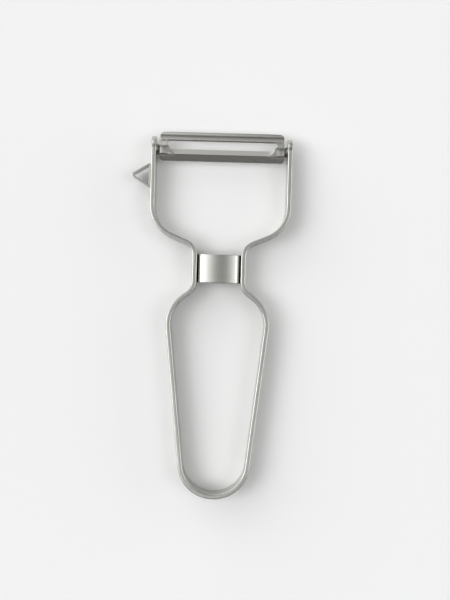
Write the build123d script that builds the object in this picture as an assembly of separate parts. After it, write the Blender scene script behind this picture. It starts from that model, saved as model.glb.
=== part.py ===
from build123d import *
import math
import os

# A vegetable peeler, lying flat with its strip standing on edge.
# X runs across the blade, +Y runs from the handle's butt to the blade, and +Z is up.
# The origin is on the table, under the middle of the strip at the butt.
# Lengths are in millimetres and angles in degrees.

# Strip: one flat bar, bent on edge. Its bends are given on its middle line.
strip_width = 11.0
strip_thickness = 2.0
strip_edge_round = 0.4
butt_radius = 14.3
leg_flare = 6.4
shoulder_radius = 14.5
shoulder_lean = 52.0
neck_entry_radius = 6.4
neck_exit_radius = 5.7
head_lean = 67.0
head_corner_radius = 14.0
pivot_from_butt = 146.3

# Collar: a flattened ring between the two legs of the neck
collar_width = 18.6
collar_length = 11.9
collar_from_butt = 96.1
collar_wall = 0.9
collar_crown = 1.3
collar_corner = 2.8
collar_lip_round = 0.15
collar_below_edge = 0.4
neck_bend_start_inside = 0.5

# Blade: a stamped sheet. Reaches run along Y and rises along Z, both from the pivot's axis.
blade_length = 52.6
blade_thickness = 0.8
guard_reach = 7.35
guard_roll_radius = 3.8
crest_reach = 5.0
crest_rise = 2.4
slot_front_reach = 3.5
roof_rise = 3.0
pad_reach = 1.3
crease_reach = 2.2
heel_reach = 4.9
heel_rise = 1.1
cutting_edge_land = 0.1
guard_corner_round = 2.0
heel_corner_round = 1.5
slot_end_web = 3.0
slot_front_round = 1.2
slot_back_chamfer = 2.0
dome_radius = 10.0
dome_rise = 0.15
dome_set_back = 0.4
dome_from_end = 1.3
dome_skirt = 0.4
ear_radius = 3.6
ear_set_back = 0.6

# Pivots: a stud riveted in each arm, and the ear of the blade that turns on it
arm_gap = 1.5
shank_radius = 1.5
cone_base_radius = 2.8
cone_tip_radius = 1.9
journal_radius = 1.5
journal_flat_offset = 0.8
journal_past_ear = 0.5
ear_land_play = 1.0
swing_limit = 30.0

# Clearances
rivet_fit = 0.01
journal_clearance = 0.05
end_play = 0.15

# Eye remover: a thin strip bent to a closed triangle, flat on the left arm
eye_thickness = 0.8
eye_width = 6.0
eye_base = 11.2
eye_apex = 64.0
eye_below_pivot = 5.7
eye_tip_round = 1.2
eye_root_round = 0.9

# How far a cutting shape runs past what it cuts
overrun = 20.0

mid_height = strip_width / 2
neck_half = (collar_width + strip_thickness) / 2
head_half = blade_length / 2 + arm_gap + strip_thickness / 2
head_outside = head_half + strip_thickness / 2


def heading(lean):
    """The unit step of a run that leans outwards from +Y by an angle, on the right side."""
    return Vector(math.sin(math.radians(lean)), math.cos(math.radians(lean)))


def make_frame_strip():
    """The bent bar: a band about its middle line, with a round nose at the end of each arm."""
    flare = math.radians(leg_flare)
    leg_start = Vector(butt_radius * math.cos(flare), butt_radius * (1 - math.sin(flare)))
    straight_neck = collar_length - 2 * neck_bend_start_inside
    neck_bottom = collar_from_butt - straight_neck / 2
    neck_top = collar_from_butt + straight_neck / 2
    entry_setback = neck_entry_radius * math.tan(math.radians(shoulder_lean / 2))
    exit_setback = neck_exit_radius * math.tan(math.radians(head_lean / 2))
    entry = Vector(neck_half, neck_bottom - entry_setback)
    leaving = Vector(neck_half, neck_top + exit_setback)

    # The leg and the slope above it meet at the shoulder's corner
    leg, slope = heading(leg_flare), heading(-shoulder_lean)
    gap = entry - leg_start
    along_leg = (gap.X * slope.Y - gap.Y * slope.X) / (leg.X * slope.Y - leg.Y * slope.X)
    shoulder = leg_start + leg * along_leg
    head = Vector(head_half, leaving.Y + (head_half - neck_half) / math.tan(math.radians(head_lean)))
    past_nose = Vector(head_half, pivot_from_butt + overrun)

    butt = CenterArc((0, butt_radius), butt_radius, -90, 90 - leg_flare)
    bends = FilletPolyline(
        leg_start, shoulder, entry, leaving, head, past_nose,
        radius=[shoulder_radius, neck_entry_radius, neck_exit_radius, head_corner_radius],
    )
    right = Curve() + [butt, bends]
    closing = Line(past_nose, (-past_nose.X, past_nose.Y))
    inside = make_face(right + mirror(right, Plane.YZ) + closing)
    band = offset(inside, strip_thickness / 2) - offset(inside, -strip_thickness / 2)
    bar = extrude(band, strip_width)

    span = 2 * (head_outside + overrun)
    body = Pos(0, pivot_from_butt, mid_height) * Box(
        span, pivot_from_butt + overrun, strip_width, align=(Align.CENTER, Align.MAX, Align.CENTER)
    )
    nose = Pos(0, pivot_from_butt, mid_height) * Rot(0, 90, 0) * Cylinder(mid_height, span)
    bar = bar & (body + nose)
    rims = bar.edges().filter_by(Axis.Z, reverse=True).filter_by(Axis.X, reverse=True)
    bar = fillet(rims, strip_edge_round)
    hole = Pos(0, pivot_from_butt, mid_height) * Rot(0, 90, 0) * Cylinder(shank_radius + rivet_fit, span)
    return bar - hole


def make_waist_collar():
    """A length of flattened tube with crowned faces, its sides flat against the neck's legs."""
    half_width = collar_width / 2
    crown_height = mid_height - collar_below_edge
    corner_height = crown_height - collar_crown
    upper = ThreePointArc((-half_width, corner_height), (0, crown_height), (half_width, corner_height))
    lower = ThreePointArc((half_width, -corner_height), (0, -crown_height), (-half_width, -corner_height))
    right = Line((half_width, corner_height), (half_width, -corner_height))
    left = Line((-half_width, -corner_height), (-half_width, corner_height))
    outline = make_face(Curve() + [upper, right, lower, left])
    outline = fillet(outline.vertices(), collar_corner)
    section = outline - offset(outline, -collar_wall)
    ring = extrude(section, collar_length / 2, both=True)
    lips = ring.edges().group_by(Axis.Z)[0] + ring.edges().group_by(Axis.Z)[-1]
    ring = fillet(lips, collar_lip_round)
    return Pos(0, collar_from_butt, mid_height) * Rot(90, 0, 0) * ring


def blade_outline(lip_overrun):
    """The blade's section, filled: the rolled guard, the flat roof with the slot, and the heel.
    Both lips run straight on past their edges by a length."""
    roll_centre = Vector(crest_reach, crest_rise - guard_roll_radius)
    lip_side = guard_reach - crest_reach
    slot_side = crest_reach - slot_front_reach
    lip_height = math.sqrt(guard_roll_radius**2 - lip_side**2)
    lip = roll_centre + Vector(lip_side, lip_height)
    guard_edge = roll_centre + Vector(-slot_side, math.sqrt(guard_roll_radius**2 - slot_side**2))
    roof_edge = Vector(pad_reach, roof_rise)
    crease = Vector(-crease_reach, roof_rise)
    heel = Vector(-heel_reach, heel_rise)
    lip_end = lip + Vector(lip_height, -lip_side).normalized() * lip_overrun
    heel_end = heel + (heel - crease).normalized() * lip_overrun
    guard = RadiusArc(lip, guard_edge, -guard_roll_radius)
    rest = Polyline(guard_edge, roof_edge, crease, heel)
    if not lip_overrun:
        return make_face(Curve() + [guard, rest, Line(heel, lip)])
    ends = [Line(lip_end, lip), Line(heel, heel_end), Line(heel_end, lip_end)]
    return make_face(Curve() + [guard, rest] + ends)


def end_dome(radius):
    """The cap of the ball that domes the blade's roof over the right pivot, with its skirt."""
    end = blade_length / 2
    top = roof_rise + dome_rise
    ball = Pos(end - dome_from_end, -dome_set_back, top - dome_radius) * Sphere(radius)
    room = Pos(end, -crease_reach, roof_rise - dome_radius + radius - dome_skirt) * Box(
        dome_radius, crease_reach + pad_reach, dome_skirt + dome_radius,
        align=(Align.MAX, Align.MIN, Align.MIN),
    )
    return ball & room


def make_swivel_blade():
    """A pressed channel with a slot along its roof, closed at both ends by a pierced ear."""
    half_length = blade_length / 2
    filled = blade_outline(0)
    walls = filled - offset(blade_outline(overrun), -blade_thickness)

    # Grinding thins the cutting bar from its crease down to the edge along the slot
    edge_rise = roof_rise - blade_thickness + cutting_edge_land
    ground = make_face(Polyline((-crease_reach, roof_rise), (0, edge_rise), (0, roof_rise), close=True))
    slot_half = half_length - slot_end_web
    channel = extrude(Plane.YZ * walls, half_length, both=True)
    outer_dome = end_dome(dome_radius)
    inner_dome = end_dome(dome_radius - blade_thickness)
    channel += outer_dome + mirror(outer_dome, Plane.YZ)
    channel -= inner_dome + mirror(inner_dome, Plane.YZ)
    channel -= extrude(Plane.YZ * ground, slot_half - slot_back_chamfer, both=True)

    slot = make_face(Polyline(
        (-slot_half, slot_front_reach),
        (slot_half, slot_front_reach),
        (slot_half, slot_back_chamfer),
        (slot_half - slot_back_chamfer, 0),
        (slot_back_chamfer - slot_half, 0),
        (-slot_half, slot_back_chamfer),
        close=True,
    ))
    slot = fillet(slot.vertices().group_by(Axis.Y)[-1], slot_front_round)
    channel -= Pos(0, 0, -strip_width) * extrude(slot, 2 * strip_width)

    ear_face = Plane.YZ * (filled + Pos(-ear_set_back, 0) * Circle(ear_radius))
    ear = Pos(half_length, 0, 0) * extrude(ear_face, -blade_thickness)
    blade = channel + ear + mirror(ear, Plane.YZ)

    plan = Rectangle(blade_length, guard_reach + heel_reach)
    plan = Pos(0, (guard_reach - heel_reach) / 2) * plan
    plan = fillet(plan.vertices().group_by(Axis.Y)[-1], guard_corner_round)
    plan = fillet(plan.vertices().group_by(Axis.Y)[0], heel_corner_round)
    blade &= Pos(0, 0, -strip_width) * extrude(plan, 2 * strip_width)
    blade -= Plane.YZ * extrude(ear_opening(), blade_length, both=True)
    return Pos(0, pivot_from_butt, mid_height) * blade


def ear_opening():
    """The bow-tie hole of an ear: a round hole with a land each side that stops the journal's flat."""
    opening = Circle(journal_radius + journal_clearance)
    stop = math.radians(swing_limit + ear_land_play)
    tip = journal_flat_offset / math.cos(stop)
    reach = 2 * journal_radius
    land = make_face(Polyline(
        (tip, 0),
        (tip + reach * math.sin(stop), reach * math.cos(stop)),
        (tip + reach * math.sin(stop), -reach * math.cos(stop)),
        close=True,
    ))
    return opening - land - mirror(land, Plane.YZ)


def make_pivot_stud(side):
    """A stud from the arm's outer face inwards: shank, cone shoulder and flat-sided journal."""
    upright = (Align.CENTER, Align.CENTER, Align.MIN)
    cone_length = arm_gap - end_play
    journal_length = end_play + blade_thickness + journal_past_ear
    shank = Cylinder(shank_radius, strip_thickness, align=upright)
    cone = Cone(cone_base_radius, cone_tip_radius, cone_length, align=upright)
    journal = Cylinder(journal_radius, journal_length, align=upright)
    journal &= Box(2 * journal_flat_offset, 2 * journal_radius, journal_length, align=upright)
    stud = shank + Pos(0, 0, strip_thickness) * cone
    stud += Pos(0, 0, strip_thickness + cone_length) * journal
    seat = Plane((side * head_outside, pivot_from_butt, mid_height), x_dir=(0, 1, 0), z_dir=(-side, 0, 0))
    return seat * stud


def make_eye_remover():
    """A thin strip bent to a triangle, its base flat on the left arm's outer face."""
    base_top = pivot_from_butt - eye_below_pivot
    half_base = eye_base / 2
    triangle = make_face(Polyline(
        (-head_outside, base_top),
        (-head_outside - half_base / math.tan(math.radians(eye_apex / 2)), base_top - half_base),
        (-head_outside, base_top - eye_base),
        close=True,
    ))
    triangle = fillet(triangle.vertices().group_by(Axis.X)[0], eye_tip_round)
    triangle = fillet(triangle.vertices().group_by(Axis.X)[-1], eye_root_round)
    band = triangle - offset(triangle, -eye_thickness)
    return Pos(0, 0, mid_height) * extrude(band, eye_width / 2, both=True)


nodes = {
    "frame_strip": make_frame_strip(),
    "waist_collar": make_waist_collar(),
    "swivel_blade": make_swivel_blade(),
    "pivot_stud_left": make_pivot_stud(-1),
    "pivot_stud_right": make_pivot_stud(1),
    "eye_remover": make_eye_remover(),
}

os.makedirs("parts", exist_ok=True)
for name, solid in nodes.items():
    export_step(solid, f"parts/{name}.step")
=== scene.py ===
import math

import bmesh
import bpy
import numpy as np
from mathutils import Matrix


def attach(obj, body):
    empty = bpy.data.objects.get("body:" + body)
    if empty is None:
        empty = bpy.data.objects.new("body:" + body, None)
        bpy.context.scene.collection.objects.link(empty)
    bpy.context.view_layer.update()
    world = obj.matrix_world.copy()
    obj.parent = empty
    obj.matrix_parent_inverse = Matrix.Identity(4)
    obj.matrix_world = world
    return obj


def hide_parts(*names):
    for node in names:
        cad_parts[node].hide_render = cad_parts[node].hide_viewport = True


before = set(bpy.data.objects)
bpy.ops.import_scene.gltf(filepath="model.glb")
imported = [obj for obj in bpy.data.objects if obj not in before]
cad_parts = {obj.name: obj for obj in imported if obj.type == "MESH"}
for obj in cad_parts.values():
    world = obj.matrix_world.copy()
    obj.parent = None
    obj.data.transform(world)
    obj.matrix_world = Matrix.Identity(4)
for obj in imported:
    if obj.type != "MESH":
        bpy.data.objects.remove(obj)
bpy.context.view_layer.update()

# Frame strip: one flat bar of stainless steel on edge, bent cold into the handle's loop, the waist
# and the fork. Its edges are rolled round, its arms end in half-round noses with a hole for the
# stud, and it is brushed along its length.
mm = 0.001
strip_width = 11.0 * mm
strip_thickness = 2.0 * mm
strip_edge_round = 0.4 * mm
butt_radius = 14.3 * mm
leg_flare = math.radians(6.4)
shoulder_radius = 14.5 * mm
shoulder_lean = math.radians(52.0)
neck_entry_radius = 6.4 * mm
neck_exit_radius = 5.7 * mm
head_lean = math.radians(67.0)
head_corner_radius = 14.0 * mm
pivot_from_butt = 146.3 * mm
collar_width = 18.6 * mm
collar_length = 11.9 * mm
collar_from_butt = 96.1 * mm
neck_bend_start_inside = 0.5 * mm
blade_length = 52.6 * mm
arm_gap = 1.5 * mm
stud_hole_radius = 1.51 * mm
strip_step = 0.4 * mm
nose_fan_steps = 30
round_steps = 6
kept_decimals = 9
joining_distance = 0.001 * mm
sharp_angle = math.radians(32)
strip_tint = (0.5, 0.5, 0.47)
strip_sheen = 0.25
strip_coarseness = 1.7
# Colour of the painted shade that darkens the collar's crevices.
crevice_shade_tint = (0.02, 0.018, 0.016, 1.0)
brush_lines = (14 * mm, 0.09 * mm, 3.0)
brush_bands = (40 * mm, 0.5 * mm, 7.0)
brush_depth = 0.009 * mm
streak_grain = {"Scale": 1.0, "Detail": 3.0, "Roughness": 0.6}
cloud_grain = {"Scale": 60.0, "Detail": 2.0}
line_share = 0.5
band_share = 0.35
cloud_share = 0.15
darkest_share = 0.8
lightest_share = 1.2
sheen_middle = 0.06
band_sheen = 0.08
cloud_sheen = 0.06

mid_height = strip_width / 2
neck_half = (collar_width + strip_thickness) / 2
head_half = blade_length / 2 + arm_gap + strip_thickness / 2
head_outside = head_half + strip_thickness / 2
quarter_turn = math.pi / 2


def bend(radius, turn):
    """A bend as a move: its length and its turn."""
    return radius * abs(turn), turn


def walk(moves, lean, step):
    """A flat line from moves, each a length and a turn spread evenly over it. Gives the lengths
    along the line, its points and its leans from the second axis. Each step is the chord of its
    arc, the arc's length times sin(half the turn) over half the turn, set along the mean lean."""
    lengths, turns = np.array(moves).T
    knots = np.round(np.concatenate([[0], np.cumsum(lengths)]), kept_decimals)
    leans = lean + np.concatenate([[0], np.cumsum(turns)])
    even = np.round(np.arange(0, knots[-1], step), kept_decimals)
    along = np.unique(np.concatenate([even, knots]))
    lean_along = np.interp(along, knots, leans)
    turned = np.diff(lean_along)
    chords = np.diff(along) * np.sinc(turned / 2 / np.pi)
    mean = (lean_along[1:] + lean_along[:-1]) / 2
    steps = np.stack([chords * np.sin(mean), chords * np.cos(mean)], -1)
    return along, np.concatenate([[[0, 0]], np.cumsum(steps, 0)]), lean_along


def strip_line():
    """The strip's middle line, from the left arm's nose round the butt to the right arm's nose,
    with lengths counted from the butt. A bend starts short of the corner that it rounds by its
    radius times tan(half its turn)."""
    leg_start = np.array([math.cos(leg_flare), 1 - math.sin(leg_flare)]) * butt_radius
    straight_neck = collar_length - 2 * neck_bend_start_inside
    neck_bottom = collar_from_butt - straight_neck / 2
    neck_top = collar_from_butt + straight_neck / 2
    entry_setback = neck_entry_radius * math.tan(shoulder_lean / 2)
    exit_setback = neck_exit_radius * math.tan(head_lean / 2)
    head_setback = head_corner_radius * math.tan(head_lean / 2)
    shoulder_turn = leg_flare + shoulder_lean
    shoulder_setback = shoulder_radius * math.tan(shoulder_turn / 2)
    entry = np.array([neck_half, neck_bottom - entry_setback])
    leg = np.array([math.sin(leg_flare), math.cos(leg_flare)])
    slope = np.array([-math.sin(shoulder_lean), math.cos(shoulder_lean)])
    to_shoulder, from_shoulder = np.linalg.solve(np.stack([leg, slope], -1), entry - leg_start)
    head_run = (head_half - neck_half) / math.sin(head_lean)
    head_height = neck_top + exit_setback + (head_half - neck_half) / math.tan(head_lean)
    right = [
        bend(butt_radius, leg_flare - quarter_turn),
        (to_shoulder - shoulder_setback, 0),
        bend(shoulder_radius, -shoulder_turn),
        (from_shoulder - shoulder_setback - entry_setback, 0),
        bend(neck_entry_radius, shoulder_lean),
        (straight_neck, 0),
        bend(neck_exit_radius, head_lean),
        (head_run - exit_setback - head_setback, 0),
        bend(head_corner_radius, -head_lean),
        (pivot_from_butt + mid_height - head_height - head_setback, 0),
    ]
    along, points, leans = walk(right[::-1] + right, math.pi, strip_step)
    middle = along[-1] / 2
    butt = [np.interp(middle, along, points[:, axis]) for axis in (0, 1)]
    return along - middle, points - butt, leans


def strip_face(line, side):
    """The upper or lower half of the bar, as ribs from its spine to its rim. A rib stands upright
    along the arms and fans out round the pivot at the noses, and starts at the stud's hole where
    it meets it. Each rib carries the same profile: the inner face, a quarter round, the edge,
    a quarter round and the outer face."""
    along, points, leans = line
    to_pivot = along[-1] - mid_height
    fan = np.linspace(0, quarter_turn, nose_fan_steps + 1)
    inside = along[np.abs(along) < to_pivot - stud_hole_radius - strip_edge_round]
    by_hole = to_pivot - stud_hole_radius * np.cos(fan)
    run = np.concatenate([-by_hole[::-1], inside, by_hole])
    run_foot = np.sqrt(np.maximum(stud_hole_radius**2 - (np.abs(run) - to_pivot) ** 2, 0))
    sweep = np.sin(fan[1:]), np.cos(fan[1:])
    foot = np.concatenate([
        np.stack([-to_pivot - stud_hole_radius * sweep[0], stud_hole_radius * sweep[1]], -1)[::-1],
        np.stack([run, run_foot], -1),
        np.stack([to_pivot + stud_hole_radius * sweep[0], stud_hole_radius * sweep[1]], -1),
    ])
    head = np.concatenate([
        np.stack([-to_pivot - mid_height * sweep[0], mid_height * sweep[1]], -1)[::-1],
        np.stack([run, np.full(len(run), mid_height)], -1),
        np.stack([to_pivot + mid_height * sweep[0], mid_height * sweep[1]], -1),
    ])

    half = strip_thickness / 2
    rolled = np.linspace(0, quarter_turn, round_steps + 1)
    face_shares = np.array([1.0, 0.5, 0.06])
    across = np.concatenate([
        np.full(len(face_shares), -half),
        -half + strip_edge_round * (1 - np.cos(rolled)),
        half - strip_edge_round * (1 - np.cos(rolled[::-1])),
        np.full(len(face_shares), half),
    ])
    from_rim = np.concatenate([
        np.full(len(face_shares), strip_edge_round),
        strip_edge_round * (1 - np.sin(rolled)),
        strip_edge_round * (1 - np.sin(rolled[::-1])),
        np.full(len(face_shares), strip_edge_round),
    ])
    share = np.concatenate([face_shares, np.zeros(2 * len(rolled)), face_shares[::-1]])
    across, from_rim, share = (np.append(row, row[0]) for row in (across, from_rim, share))

    rib = np.linalg.norm(head - foot, axis=1)[:, None]
    depth = (from_rim + share * (rib - strip_edge_round)) / rib
    flat = head[:, None] + (foot - head)[:, None] * depth[..., None]
    place, height = flat[..., 0], flat[..., 1]
    lean = np.interp(place, along, leans)
    x = np.interp(place, along, points[:, 0]) + across * np.cos(lean)
    y = np.interp(place, along, points[:, 1]) - across * np.sin(lean)
    grid = np.stack([x, y, mid_height + side * height], -1)
    lengths = np.stack([place, side * (height + across + half)], -1)
    kept = np.ones((len(foot) - 1, len(across) - 1), bool)
    at_hole = foot[:, 1] > 0
    at_hole[0] = at_hole[-1] = True
    kept[:, -1] = at_hole[1:] | at_hole[:-1]
    if side < 0:
        grid, lengths, kept = grid[:, ::-1], lengths[:, ::-1], kept[:, ::-1]
    return grid, lengths, kept


def lay_mesh(name, *sheets):
    """One mesh from sheets. A sheet is a grid of points, rows by columns, a grid of the two lengths
    that its surface has been measured by, and the cells of the grid that are kept. Points that
    meet are joined, and edges sharper than a bend's facets stay sharp."""
    points, lengths, faces, count = [], [], [], 0
    for grid, measured, kept in sheets:
        rows, columns = grid.shape[:2]
        index = count + np.arange(rows * columns).reshape(rows, columns)
        quads = np.stack([index[:-1, :-1], index[:-1, 1:], index[1:, 1:], index[1:, :-1]], -1)
        points.append(grid.reshape(-1, 3))
        lengths.append(measured.reshape(-1, 2))
        faces.append(quads[kept])
        count += rows * columns
    faces = np.concatenate(faces)
    mesh = bpy.data.meshes.new(name)
    mesh.from_pydata(np.concatenate(points).tolist(), [], faces.tolist())
    measured = mesh.uv_layers.new(name="lengths")
    measured.data.foreach_set("uv", np.concatenate(lengths)[faces.ravel()].ravel())
    shell = bmesh.new()
    shell.from_mesh(mesh)
    bmesh.ops.remove_doubles(shell, verts=shell.verts, dist=joining_distance)
    shell.to_mesh(mesh)
    shell.free()
    mesh.shade_smooth()
    mesh.set_sharp_from_angle(angle=sharp_angle)
    return mesh


def add_piece(mesh, body, replaced, material):
    """Puts a mesh into the scene on its body, in place of its CAD node."""
    piece = bpy.data.objects.new(mesh.name, mesh)
    bpy.context.scene.collection.objects.link(piece)
    mesh.materials.append(material)
    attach(piece, body)
    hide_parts(replaced)


class Wire:
    """A socket of a node tree. Arithmetic on it adds Math nodes, and node() adds any other."""

    def __init__(self, tree, socket=None):
        self.tree = tree
        self.socket = socket

    def node(self, kind, settings=None, sockets=None, output=0):
        """Adds a node: first its settings, then the values or links of its sockets. Gives the
        output asked for."""
        made = self.tree.nodes.new(kind)
        for name, value in (settings or {}).items():
            setattr(made, name, value)
        for name, value in (sockets or {}).items():
            if isinstance(value, Wire):
                self.tree.links.new(value.socket, made.inputs[name])
            else:
                made.inputs[name].default_value = value
        return Wire(self.tree, made.outputs[output] if made.outputs else None)

    def math(self, operation, *values):
        """Adds a Math node on the values in their order."""
        return self.node("ShaderNodeMath", {"operation": operation}, dict(enumerate(values)))

    def __add__(self, other):
        return self.math("ADD", self, other)

    def __sub__(self, other):
        return self.math("SUBTRACT", self, other)

    def __rsub__(self, other):
        return self.math("SUBTRACT", other, self)

    def __mul__(self, other):
        return self.math("MULTIPLY", self, other)

    def __truediv__(self, other):
        return self.math("DIVIDE", self, other)

    __radd__ = __add__
    __rmul__ = __mul__

    def smooth(self, start, end):
        """Rises smoothly from 0 at start to 1 at end."""
        return self.node("ShaderNodeMapRange", {"interpolation_type": "SMOOTHSTEP"}, {
            "Value": self, "From Min": start, "From Max": end,
        })


def new_material(name):
    """A material with an empty tree, and a wire to add its nodes with."""
    material = bpy.data.materials.new(name)
    material.use_nodes = True
    material.node_tree.nodes.clear()
    return material, Wire(material.node_tree)


def streaks(wire, place, long, fine, seed):
    """Brush marks: noise drawn out to one length along the first axis, and squeezed to another
    along the rest, with a seed that sets it apart from other marks."""
    stretched = wire.node("ShaderNodeMapping", {}, {
        "Vector": place, "Scale": (1 / long, 1 / fine, 1 / fine), "Location": (seed, seed, seed),
    })
    return wire.node("ShaderNodeTexNoise", {}, {"Vector": stretched, **streak_grain})


def finish_steel(wire, tint, sheen, fine, bands, unshaded_share=1.0, coarse=1.0):
    """Satin steel: fine brush lines that tilt the surface, broader bands that vary its shade and
    sheen, and faint clouds where it has been handled. Painted shade darkens it where its
    unshaded share falls below 1."""
    around = wire.node("ShaderNodeTexCoord", output="Object")
    clouds = wire.node("ShaderNodeTexNoise", {}, {"Vector": around, **cloud_grain})
    shade = (fine * line_share + bands * band_share + clouds * cloud_share) * unshaded_share
    dark = tuple(darkest_share * part for part in tint) + (1.0,)
    light = tuple(lightest_share * part for part in tint) + (1.0,)
    colour = wire.node("ShaderNodeMix", {"data_type": "RGBA"}, {0: shade, 6: dark, 7: light}, 2)
    # Painted shade: where the unshaded share falls below 1, the colour goes over to the crevice shade
    # tint.
    shaded_colour = wire.node("ShaderNodeMix", {"data_type": "RGBA"}, {0: unshaded_share, 6: crevice_shade_tint, 7: colour}, 2)
    relief = wire.node("ShaderNodeBump", {}, {
        "Height": fine, "Strength": 1.0, "Distance": brush_depth * coarse,
    })
    roughness = sheen - sheen_middle + bands * band_sheen + clouds * cloud_sheen
    surface = wire.node("ShaderNodeBsdfPrincipled", {}, {
        "Base Color": shaded_colour, "Metallic": 1.0, "Roughness": roughness, "Normal": relief,
    })
    wire.node("ShaderNodeOutputMaterial", {}, {"Surface": surface})


def brushed_steel(name, tint, sheen, coarse=1.0):
    """Steel brushed along the first of the lengths that its mesh has been measured by."""
    material, wire = new_material(name)
    place = wire.node("ShaderNodeTexCoord", output="UV")
    fine = streaks(wire, place, *brush_lines)
    bands = streaks(wire, place, *brush_bands)
    finish_steel(wire, tint, sheen, fine, bands, coarse=coarse)
    return material


strip_steel = brushed_steel("strip_steel", strip_tint, strip_sheen, strip_coarseness)
line = strip_line()
strip_mesh = lay_mesh("bent_strip", strip_face(line, 1), strip_face(line, -1))
add_piece(strip_mesh, "frame", "frame_strip", strip_steel)

# Waist collar: a length of flattened stainless steel tube between the legs of the neck, pressed to
# crowned faces with round corners. It is brushed across the handle and spot welded at its sides.
collar_wall = 0.9 * mm
collar_crown = 1.3 * mm
collar_corner = 2.8 * mm
collar_lip_round = 0.15 * mm
collar_below_edge = 0.4 * mm
# The painted crevice shade is full within the first of these from the collar's sides and fades out by the
# second.
collar_shade_start = 0.3 * mm
collar_shade_end = 1.0 * mm
collar_sheen = 0.2
ring_step = 0.25 * mm
ring_face_shares = np.array([0.95, 0.0, -0.95])


def ring_wall(moves, lean, step, outward, wall, width, lip):
    """A wall of one thickness along a closed outline. Its profile is a rectangle with rounded
    corners: over the outer face, round one lip, back under the inner face and round the other.
    Gives the wall's points in the outline's plane, their places across it and their lengths."""
    along, points, leans = walk(moves, lean, step)
    rolled = np.linspace(0, quarter_turn, round_steps + 1)
    flat = width / 2 - lip
    face = flat * ring_face_shares
    drop = lip * (1 - np.cos(rolled))
    past_middle = flat + lip * np.sin(rolled)
    depth = np.concatenate([0 * face, drop, wall - drop[::-1]])
    across = np.concatenate([face, -past_middle, -past_middle[::-1]])
    depth = np.concatenate([depth, wall - depth, depth[:1]])
    across = np.concatenate([across, -across, across[:1]])
    normal = outward * np.stack([np.cos(leans), -np.sin(leans)], -1)
    flat_points = points[:, None] - normal[:, None] * depth[:, None]
    along, across = np.meshgrid(along, across, indexing="ij")
    return flat_points, across, np.stack([along, across - depth], -1)


def whole_sheet(grid, lengths):
    """A sheet that keeps every cell of its grid."""
    return grid, lengths, np.ones((grid.shape[0] - 1, grid.shape[1] - 1), bool)


def collar_sheet():
    """The ring, from the middle of its upper face clockwise as seen from the butt: crowned arcs of
    radius (half width squared + crown squared) / (2 crown), corner arcs that touch them, and sides."""
    half_width = collar_width / 2
    crown_height = mid_height - collar_below_edge
    crown_radius = (half_width**2 + collar_crown**2) / (2 * collar_crown)
    crown_turn = math.asin((half_width - collar_corner) / (crown_radius - collar_corner))
    side_half = crown_height - crown_radius + (crown_radius - collar_corner) * math.cos(crown_turn)
    corner = bend(collar_corner, quarter_turn - crown_turn)
    half_crown = bend(crown_radius, crown_turn)
    half_ring = [half_crown, corner, (2 * side_half, 0), corner, half_crown]
    flat, across, lengths = ring_wall(
        half_ring * 2, quarter_turn, ring_step, -1, collar_wall, collar_length, collar_lip_round
    )
    height = mid_height + crown_height + flat[..., 1]
    grid = np.stack([flat[..., 0], collar_from_butt + across, height], -1)
    return whole_sheet(grid, lengths)


def collar_finish():
    """The collar's steel, with painted shade darkening the crevices between its rounded sides and the
    strip.
    """
    material, wire = new_material("collar_steel")
    place = wire.node("ShaderNodeTexCoord", output="UV")
    fine = streaks(wire, place, *brush_lines)
    bands = streaks(wire, place, *brush_bands)
    around = wire.node("ShaderNodeTexCoord", output="Object")
    from_middle = wire.math("ABSOLUTE", wire.node("ShaderNodeSeparateXYZ", {}, {0: around}))
    side = collar_width / 2
    # Painted shade: the steel darkens towards both rounded sides, where the crevices against the strip
    # fall in shade.
    unshaded_share = from_middle.smooth(side - collar_shade_start, side - collar_shade_end)
    finish_steel(wire, strip_tint, collar_sheen, fine, bands, unshaded_share)
    return material


collar_mesh = lay_mesh("flattened_ring", collar_sheet())
add_piece(collar_mesh, "frame", "waist_collar", collar_finish())

# Eye remover: a narrow strip of thin stainless steel folded to a triangle, spot welded by its base
# to the left arm's outer face. Its folds are round and its edges are eased.
eye_thickness = 0.8 * mm
eye_width = 6.0 * mm
eye_base = 11.2 * mm
eye_apex = math.radians(64.0)
eye_below_pivot = 5.7 * mm
eye_tip_round = 1.2 * mm
eye_root_round = 0.9 * mm
eye_edge_round = 0.1 * mm
eye_tint = (0.48, 0.48, 0.455)
eye_sheen = 0.24


def eye_sheet():
    """The triangle, from the middle of its base up the arm and round by the left. A fold starts
    short of its corner by its radius times tan(half its turn)."""
    root_turn = quarter_turn + eye_apex / 2
    tip_turn = math.pi - eye_apex
    root_setback = eye_root_round * math.tan(root_turn / 2)
    tip_setback = eye_tip_round * math.tan(tip_turn / 2)
    side = eye_base / 2 / math.sin(eye_apex / 2) - root_setback - tip_setback
    half_base = (eye_base / 2 - root_setback, 0)
    root = bend(eye_root_round, -root_turn)
    moves = [half_base, root, (side, 0), bend(eye_tip_round, -tip_turn), (side, 0), root, half_base]
    flat, across, lengths = ring_wall(moves, 0, ring_step, 1, eye_thickness, eye_width, eye_edge_round)
    y = pivot_from_butt - eye_below_pivot - eye_base / 2 + flat[..., 1]
    grid = np.stack([flat[..., 0] - head_outside, y, mid_height + across], -1)
    return whole_sheet(grid, lengths)


eye_steel = brushed_steel("eye_steel", eye_tint, eye_sheen)
eye_mesh = lay_mesh("folded_point", eye_sheet())
add_piece(eye_mesh, "frame", "eye_remover", eye_steel)

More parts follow.
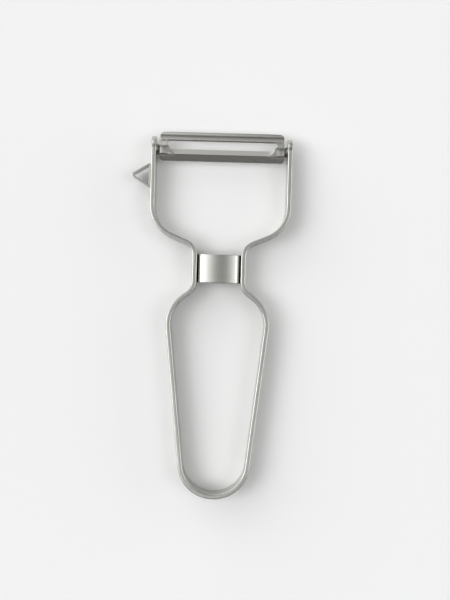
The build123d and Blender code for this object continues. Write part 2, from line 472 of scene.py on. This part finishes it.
# Pivot studs: turned steel, one in each arm. The shank fills the arm's hole and is set in it with a
# punch, a cone keeps the blade off the arm, and a journal with two flats carries the blade's ear.
shank_radius = 1.5 * mm
cone_base_radius = 2.8 * mm
cone_tip_radius = 1.9 * mm
journal_radius = 1.5 * mm
journal_flat_offset = 0.8 * mm
journal_past_ear = 0.5 * mm
blade_thickness = 0.8 * mm
end_play = 0.15 * mm
punch_mark_radius = 1.1 * mm
punch_mark_depth = 0.25 * mm
stud_edge = 0.1 * mm
stud_turn_steps = 72
stud_sheen = 0.24
bowl_rings = 8
least_cosine = 0.1


def stud_sheet(side):
    """A stud turned about the pivots' line, from the bowl of the punch mark in the arm's outer face
    inwards. The journal's radius is cut to flat offset / |cos of the angle from +Y|."""
    cone_foot = strip_thickness
    cone_tip = cone_foot + arm_gap - end_play
    journal_end = cone_tip + end_play + blade_thickness + journal_past_ear
    bowl = np.linspace(0, punch_mark_radius, bowl_rings)
    journal_depths = [cone_tip, journal_end - stud_edge, journal_end, journal_end]
    depths = np.concatenate([
        punch_mark_depth * (1 - (bowl / punch_mark_radius) ** 2),
        [0, stud_edge, cone_foot, cone_foot, cone_foot + stud_edge, cone_tip - stud_edge, cone_tip],
        journal_depths,
    ])
    radii = np.concatenate([
        bowl,
        [shank_radius - stud_edge, shank_radius, shank_radius, cone_base_radius - stud_edge],
        [cone_base_radius, cone_tip_radius, cone_tip_radius - stud_edge],
        [journal_radius, journal_radius, journal_radius - stud_edge, 0],
    ])
    flat_end = math.acos(journal_flat_offset / journal_radius)
    even = np.linspace(0, 2 * math.pi, stud_turn_steps + 1)
    ends = np.array([flat_end, math.pi - flat_end, math.pi + flat_end, 2 * math.pi - flat_end])
    turn = np.unique(np.concatenate([even, ends])) * -side
    depth, turn = np.meshgrid(depths, turn, indexing="ij")
    radius = np.broadcast_to(radii[:, None], depth.shape).copy()
    flats = journal_flat_offset / np.maximum(np.abs(np.cos(turn)), least_cosine)
    on_journal = slice(-len(journal_depths), None)
    radius[on_journal] = np.minimum(radius, flats)[on_journal]
    y, z = radius * np.cos(turn), radius * np.sin(turn)
    grid = np.stack([side * (head_outside - depth), pivot_from_butt + y, mid_height + z], -1)
    lengths = np.stack([turn * cone_base_radius, depth + radius], -1)
    return whole_sheet(grid, lengths)


stud_steel = brushed_steel("stud_steel", strip_tint, stud_sheen)
for side, name in ((-1, "left"), (1, "right")):
    stud_mesh = lay_mesh("turned_stud_" + name, stud_sheet(side))
    add_piece(stud_mesh, "frame", "pivot_stud_" + name, stud_steel)

# Blade: pressed from thin hardened steel, with a rolled guard bar, a slot, and a cutting bar that is
# ground from above to an edge along the slot. Ears folded down at both ends carry it on the studs,
# and the roof is domed over them.
guard_reach = 7.35 * mm
guard_roll_radius = 3.8 * mm
crest_reach = 5.0 * mm
crest_rise = 2.4 * mm
slot_front_reach = 3.5 * mm
roof_rise = 3.0 * mm
crease_reach = 2.2 * mm
heel_reach = 4.9 * mm
heel_rise = 1.1 * mm
cutting_edge_land = 0.1 * mm
guard_corner_round = 2.0 * mm
heel_corner_round = 1.5 * mm
slot_end_web = 3.0 * mm
slot_front_round = 1.2 * mm
slot_back_chamfer = 2.0 * mm
dome_radius = 10.0 * mm
dome_rise = 0.15 * mm
dome_set_back = 0.4 * mm
dome_from_end = 1.3 * mm
dome_blend = 0.15 * mm
pad_reach = 1.3 * mm
web_blend = 0.2 * mm
crease_least_blend = 0.01 * mm
crease_blend = 0.6 * mm
grind_full = 19.6 * mm
grind_none = 23.2 * mm
grind_run_out = 2.0
blade_edge_round = 0.08 * mm
ear_radius = 3.6 * mm
ear_set_back = 0.6 * mm
ear_tuck = 0.3 * mm
ear_inset = 0.03 * mm
ear_land_play = math.radians(1.0)
ear_front_angle = math.radians(5.0)
ear_back_angle = math.radians(-192.0)
swing_limit = math.radians(30.0)
journal_clearance = 0.05 * mm
rib_step = 0.5 * mm
rib_fan = 3 * slot_back_chamfer
chamfer_split_share = 0.6
corner_split = 0.5
heel_columns = 8
roof_columns = 16
least_heel_share = 0.12
thin_edge_share = 0.45
underside_shift = 4 * heel_reach
edge_round_steps = 3
ear_top_points = 40
ear_round_points = 60
ear_front_points = 8
ear_wall_rings = 5
blade_tint = (0.48, 0.473, 0.445)
blade_sheen = 0.24
ground_sheen = 0.55
ground_lines = (6 * mm, 0.09 * mm, 5.0)
ground_edge = (0.0, 0.12)
ground_depth_share = 0.9
past_slot_edge = (2.4, 2.2)

blade_end = blade_length / 2


def soft_least(first, second, blend):
    """The lesser of two heights, rounded off over a band where they differ by less than blend."""
    share = np.clip(0.5 + (second - first) / (2 * blend), 0, 1)
    return second + (first - second) * share - blend * share * (1 - share)


def sheet_height(x, y, depth):
    """Height above the pivots of the face that lies some depth under the blade's upper face. The
    roof is flat, with the cap of a ball blended in over each pivot. The heel's facet and the web,
    which slopes to the guard, cut it off, and the guard's roll stands out of the web. The crease
    softens near the ends."""
    end_share = np.clip((np.abs(x) - grind_full) / (grind_none - grind_full), 0, 1)
    slot_side = crest_reach - slot_front_reach
    guard_edge = crest_rise - guard_roll_radius + math.sqrt(guard_roll_radius**2 - slot_side**2)
    heel_slope = (roof_rise - heel_rise) / (heel_reach - crease_reach)
    web_slope = (roof_rise - guard_edge) / (slot_front_reach - pad_reach)
    heel = roof_rise + (y + crease_reach) * heel_slope - depth * math.hypot(1, heel_slope)
    web = roof_rise - (y - pad_reach) * web_slope - depth * math.hypot(1, web_slope)
    off_centre = np.hypot(np.abs(x) - (blade_end - dome_from_end), y + dome_set_back)
    ball = np.sqrt(np.maximum((dome_radius - depth) ** 2 - off_centre**2, 0))
    roof = -soft_least(depth - roof_rise, dome_radius - roof_rise - dome_rise - ball, dome_blend)
    roof = soft_least(heel, roof, crease_least_blend + crease_blend * end_share)
    roof = soft_least(web, roof, web_blend)
    roll = np.sqrt(np.maximum((guard_roll_radius - depth) ** 2 - (y - crest_reach) ** 2, 0))
    return np.maximum(roof, crest_rise - guard_roll_radius + roll)


def ground_away(x, y):
    """Depth that grinding takes off: a slope from nothing at the crease to the edge along the slot,
    run out towards the ends by the wheel's round."""
    full = blade_thickness - cutting_edge_land
    run_out = np.maximum(np.abs(x) - grind_full, 0) / (grind_none - grind_full)
    slope = (y + crease_reach) / crease_reach
    ground = np.clip(np.minimum(slope, 1) - grind_run_out * run_out**2, 0, 1)
    return full * ground * (y < slot_front_reach)


def line_points(start, stop, count):
    """Even points of a straight line, without its last."""
    return np.linspace(start, stop, count + 1)[:-1]


def arc_points(centre, radius, start, stop, count):
    """Even points of an arc, without its last, its angles in quarter turns clockwise from +Y."""
    angles = np.linspace(start, stop, count + 1)[:-1] * quarter_turn
    return np.array(centre) + radius * np.stack([np.sin(angles), np.cos(angles)], -1)


def blade_ribs():
    """Where the ribs of the blade's right half start on the slot's outline and end on the blade's,
    clockwise from the middle of the guard to the middle of the heel."""
    slot_half = blade_end - slot_end_web
    slot_round = (slot_half - slot_front_round, slot_front_reach - slot_front_round)
    guard_round = (blade_end - guard_corner_round, guard_reach - guard_corner_round)
    heel_round = (blade_end - heel_corner_round, heel_corner_round - heel_reach)
    chamfer_top = np.array([slot_half, slot_back_chamfer])
    chamfer_foot = np.array([slot_half - slot_back_chamfer, 0])
    on_chamfer = chamfer_top + (chamfer_foot - chamfer_top) * chamfer_split_share
    straight = slot_half - rib_fan
    rows = round(slot_round[0] / rib_step)
    by_front, by_guard_corner, by_side, by_chamfer, by_heel_corner, by_back = 6, 10, 8, 14, 8, 10
    pairs = [
        (line_points((0, slot_front_reach), (slot_round[0], slot_front_reach), rows),
         line_points((0, guard_reach), (slot_round[0], guard_reach), rows)),
        (arc_points(slot_round, slot_front_round, 0, corner_split, by_front),
         line_points((slot_round[0], guard_reach), (guard_round[0], guard_reach), by_front)),
        (arc_points(slot_round, slot_front_round, corner_split, 1, by_guard_corner),
         arc_points(guard_round, guard_corner_round, 0, 1, by_guard_corner)),
        (line_points((slot_half, slot_round[1]), chamfer_top, by_side),
         line_points((blade_end, guard_round[1]), (blade_end, slot_back_chamfer), by_side)),
        (line_points(chamfer_top, on_chamfer, by_chamfer),
         line_points((blade_end, slot_back_chamfer), (blade_end, heel_round[1]), by_chamfer)),
        (line_points(on_chamfer, chamfer_foot, by_heel_corner),
         arc_points(heel_round, heel_corner_round, 1, 2, by_heel_corner)),
        (line_points(chamfer_foot, (straight, 0), by_back),
         line_points((heel_round[0], -heel_reach), (straight, -heel_reach), by_back)),
        (line_points((straight, 0), (0, 0), rows),
         line_points((straight, -heel_reach), (0, -heel_reach), rows)),
    ]
    return (np.concatenate(half) for half in zip(*pairs))


def blade_sheet():
    """The pressed and ground sheet round the slot, as closed ribs: over the upper face from the
    blade's outline to the slot, down the slot's edge, back under and up the outer edge. A column
    follows the crease. The underside is cut off level with the line from heel to lip."""
    slot, rim = blade_ribs()
    middle = np.array([[0, 0]]), np.array([[0, -heel_reach]])
    slot = np.concatenate([slot, middle[0], slot[::-1] * (-1, 1)])
    rim = np.concatenate([rim, middle[1], rim[::-1] * (-1, 1)])
    across = np.maximum(slot[:, 1] - rim[:, 1], crease_reach)
    crease = np.maximum((-crease_reach - rim[:, 1]) / across, least_heel_share)[:, None]
    to_crease = crease * np.linspace(0, 1, heel_columns + 1)[:-1]
    past_crease = crease + (1 - crease) * np.linspace(0, 1, roof_columns + 1)
    body = np.concatenate([to_crease, past_crease], 1)

    lip_rise = crest_rise - guard_roll_radius
    lip_rise += math.sqrt(guard_roll_radius**2 - (guard_reach - crest_reach) ** 2)

    def faces(place):
        """Heights of the upper and the under face over places in plan."""
        x, y = place[..., 0], place[..., 1]
        cut = heel_rise + (y + heel_reach) * (lip_rise - heel_rise) / (guard_reach + heel_reach)
        upper = sheet_height(x, y, 0) - ground_away(x, y)
        under = np.maximum(sheet_height(x, y, blade_thickness), cut)
        return upper, np.minimum(under, upper)

    rib = np.linalg.norm(slot - rim, axis=1)[:, None]
    rolled = np.linspace(0, quarter_turn, edge_round_steps + 1)
    rounds = []
    for edge in (rim, slot):
        upper, under = faces(edge)
        rounds.append(np.minimum(blade_edge_round, thin_edge_share * (upper - under))[:, None])
    inset_rim, inset_slot = (size / rib for size in rounds)
    body = inset_rim + body * (1 - inset_rim - inset_slot)
    by_slot = 1 - inset_slot * (1 - np.sin(rolled[1:]))
    by_rim = inset_rim * (1 - np.sin(rolled[1:]))
    drop_slot = rounds[1] * (1 - np.cos(rolled[1:]))
    drop_rim = rounds[0] * (1 - np.cos(rolled[1:]))
    share = np.concatenate([
        body, by_slot, by_slot[:, ::-1], body[:, ::-1], by_rim, by_rim[:, ::-1], body[:, :1],
    ], 1)
    drop = np.concatenate([
        0 * body, drop_slot, drop_slot[:, ::-1], 0 * body, drop_rim, drop_rim[:, ::-1], 0 * body[:, :1],
    ], 1)
    flat_columns, round_columns = body.shape[1], by_slot.shape[1]
    below = np.repeat([0, 1, 0], [
        flat_columns + round_columns, round_columns + flat_columns + round_columns, round_columns + 1,
    ])
    place = rim[:, None] + (slot - rim)[:, None] * share[..., None]
    upper, under = faces(place)
    z = np.where(below > 0, under + drop, upper - drop)
    x, y = place[..., 0], place[..., 1]
    grid = np.stack([x, pivot_from_butt + y, mid_height + z], -1)
    lengths = np.stack([x, y + below * underside_shift], -1)
    return whole_sheet(np.concatenate([grid, grid[:1]]), np.concatenate([lengths, lengths[:1]]))


def corner_drop(x, radius):
    """How far a round corner of the blade has dropped back from the side, at a place along the
    blade: radius - square root of (radius squared - distance past the round's centre squared)."""
    return radius - np.sqrt(radius**2 - (x - blade_end + radius) ** 2)


def ear_sheet(side):
    """An ear, as a plate with a hole: over its outer face from the hole to its rim, across the rim,
    and back over its inner face. The rim follows the roof from heel to guard, tucked into it, then
    runs to the round about the pivot. The hole's radius is the least of the round hole's and
    flat offset / cos(angle from the Y axis + stop)."""
    def rim(x):
        """The rim in the plane at x, as places from the pivot along Y and Z. The round is a circle
        about a centre that is set back from the pivot."""
        heel_end = corner_drop(x, heel_corner_round) - heel_reach
        guard_end = guard_reach - corner_drop(x, guard_corner_round)
        y = heel_end + (guard_end - heel_end) * np.linspace(0, 1, ear_top_points)
        top = np.stack([y, sheet_height(x, y, ear_tuck)], -1)
        angle = np.linspace(ear_front_angle, ear_back_angle, ear_round_points)
        radius = np.sqrt(ear_radius**2 - (ear_set_back * np.sin(angle)) ** 2)
        radius = radius - ear_set_back * np.cos(angle)
        below = radius[:, None] * np.stack([np.cos(angle), np.sin(angle)], -1)
        below[:, 0] = np.maximum(below[:, 0], heel_end)
        to_round = np.linspace(top[-1], below[0], ear_front_points)[1:-1]
        return np.concatenate([top, to_round, below, top[:1]])

    steps = blade_end - ear_inset - blade_thickness * np.linspace(0, 1, ear_wall_rings)
    rims = np.stack([rim(x) for x in steps], 1)
    angle = np.arctan2(rims[:, 0, 1], rims[:, 0, 0])
    from_y = np.arctan2(np.abs(np.sin(angle)), np.abs(np.cos(angle)))
    stop = swing_limit + ear_land_play
    land = journal_flat_offset / np.maximum(np.cos(from_y + stop), least_cosine)
    radius = np.minimum(journal_radius + journal_clearance, land)
    hole = (radius[:, None] * np.stack([np.cos(angle), np.sin(angle)], -1))[:, None]
    middle = (hole + rims[:, :1]) / 2
    places = np.concatenate([hole, middle, rims, (hole + rims[:, -1:]) / 2, hole, hole], 1)
    x = np.concatenate([steps[:1], steps[:1], steps, steps[-1:], steps[-1:], steps[:1]])
    x = np.broadcast_to(side * x, places.shape[:2])
    grid = np.stack([x, pivot_from_butt + places[..., 0], mid_height + places[..., 1]], -1)
    if side < 0:
        grid, places = grid[:, ::-1], places[:, ::-1]
    return whole_sheet(grid, places)


def blade_finish():
    """The blade's steel, brushed along the blade. The face that is ground from above is rougher,
    and its marks run across."""
    material, wire = new_material("blade_steel")
    place = wire.node("ShaderNodeTexCoord", output="UV")
    around = wire.node("ShaderNodeTexCoord", output="Object")
    x, y, z = (wire.node("ShaderNodeSeparateXYZ", {}, {0: around}, axis) for axis in "XYZ")
    slope = (y - (pivot_from_butt - crease_reach)) / crease_reach
    run_out = wire.math("MAXIMUM", wire.math("ABSOLUTE", x) - grind_full, 0.0) / (grind_none - grind_full)
    depth = wire.math("MINIMUM", slope, 1.0) - run_out * run_out * grind_run_out
    roof = mid_height + roof_rise
    upper = z.smooth(roof - blade_thickness, roof - blade_thickness * ground_depth_share)
    ground = depth.smooth(*ground_edge) * upper * slope.smooth(*past_slot_edge)
    along = streaks(wire, place, *brush_lines)
    turned = wire.node("ShaderNodeCombineXYZ", {}, {"X": y, "Y": x})
    across = streaks(wire, turned, *ground_lines)
    bands = streaks(wire, place, *brush_bands)
    fine = along + (across - along) * ground
    finish_steel(wire, blade_tint, blade_sheen + (ground_sheen - blade_sheen) * ground, fine, bands)
    return material


blade_mesh = lay_mesh("pressed_blade", blade_sheet(), ear_sheet(-1), ear_sheet(1))
add_piece(blade_mesh, "blade", "swivel_blade", blade_finish())

# Floor: a seamless sheet of pale matt card, laid flat under the peeler. It reaches far past it on
# every side.
floor_reach = 4.0
floor_shade = 0.86
corners = np.array([(-1, -1, 0), (1, -1, 0), (1, 1, 0), (-1, 1, 0)]) * floor_reach
floor_mesh = bpy.data.meshes.new("floor")
floor_mesh.from_pydata(corners.tolist(), [], [(0, 1, 2, 3)])
floor = bpy.data.objects.new("floor", floor_mesh)
bpy.context.scene.collection.objects.link(floor)
card, wire = new_material("pale_card")
matt = wire.node("ShaderNodeBsdfDiffuse", {}, {"Color": (floor_shade, floor_shade, floor_shade, 1)})
wire.node("ShaderNodeOutputMaterial", {}, {"Surface": matt})
floor_mesh.materials.append(card)

# Light: a long bright ceiling panel that runs across the table from left to right, darkest in its
# middle under a beam, a tall window behind on the left, and pale walls on the right, behind and in
# front, all in the world's own light. Past the floor's edge the camera sees a plain pale backdrop.
panel_shade = 1.1
panel_left_shade = 4.4
panel_right_shade = 2.2
beam_share = 0.62
behind_shade = 0.1
behind_left_shade = 0.8
window_shade = 2.2
wall_shade = 1.7
end_shade = 0.45
backdrop_shade = 0.87
window_towards = math.radians(135)
wall_towards = math.radians(15)
left_edge = (0.0, -0.5)
right_edge = (0.16, 0.42)
high_edge = (0.85, 0.6)
panel_left_end = (0.95, 0.75)
panel_end = (0.9, 0.75)
panel_front = (-0.47, -0.23)
panel_back = (0.4, 0.1)
beam_middle = 0.02
beam_edge = (0.3, 0.18)
beam_end = (0.6, 0.4)
behind_edge = (0.1, 0.4)
window_top = (0.62, 0.92)
wall_top = (0.85, 0.93)
end_top = (0.6, 0.75)
end_foot = (0.95, 0.85)
facing_edge = (0.6, 0.95)
tiny_square = 0.0001
least_rise = 0.05
room = bpy.data.worlds.new("room")
room.use_nodes = True
room.node_tree.nodes.clear()
bpy.context.scene.world = room
wire = Wire(room.node_tree)
towards = wire.node("ShaderNodeTexCoord", output="Generated")
x, y, z = (wire.node("ShaderNodeSeparateXYZ", {}, {0: towards}, axis) for axis in "XYZ")
level = wire.math("SQRT", x * x + y * y + tiny_square)
right_slope, back_slope = (part / wire.math("MAXIMUM", z, least_rise) for part in (x, y))


def facing(angle):
    """How nearly a direction of the sky faces an angle of the compass."""
    return ((x * math.cos(angle) + y * math.sin(angle)) / level).smooth(*facing_edge)


left = right_slope.smooth(*left_edge)
right = right_slope.smooth(*right_edge)
high = level.smooth(*high_edge)
panel = left * level.smooth(*panel_left_end) * panel_left_shade + right * high * panel_right_shade
panel = panel + level.smooth(*panel_end) * panel_shade
panel = panel * back_slope.smooth(*panel_front) * back_slope.smooth(*panel_back)
beam = wire.math("ABSOLUTE", back_slope - beam_middle).smooth(*beam_edge)
beam = beam * wire.math("ABSOLUTE", right_slope).smooth(*beam_end)
panel = panel * (1 - beam * beam_share)
behind = back_slope.smooth(*behind_edge) * high * (left * behind_left_shade + behind_shade)
window = facing(window_towards) * level.smooth(*window_top) * window_shade
wall = facing(wall_towards) * level.smooth(*wall_top) * wall_shade
ends = facing(quarter_turn) + facing(-quarter_turn)
ends = ends * level.smooth(*end_top) * level.smooth(*end_foot) * end_shade
light = panel + behind + window + wall + ends
seen = wire.node("ShaderNodeLightPath", output="Is Camera Ray")
light = light + (backdrop_shade - light) * seen
back = wire.node("ShaderNodeBackground", {}, {"Color": (1, 1, 1, 1), "Strength": light})
wire.node("ShaderNodeOutputWorld", {}, {"Surface": back})

# Camera: straight above the peeler, as far away as the photograph was taken from, and turned a
# little about its own line of sight.
camera_place = (2.973 * mm, 82.995 * mm, 461.0 * mm)
camera_roll = math.radians(1.563)
camera_lens = 64.25
camera_sensor = 36.0
view = bpy.data.cameras.new("camera")
view.lens = camera_lens
view.sensor_width = camera_sensor
camera = bpy.data.objects.new("camera", view)
camera.location = camera_place
camera.rotation_euler = (0, 0, camera_roll)
bpy.context.scene.collection.objects.link(camera)
bpy.context.scene.camera = camera
bpy.context.scene.view_settings.view_transform = "Standard"
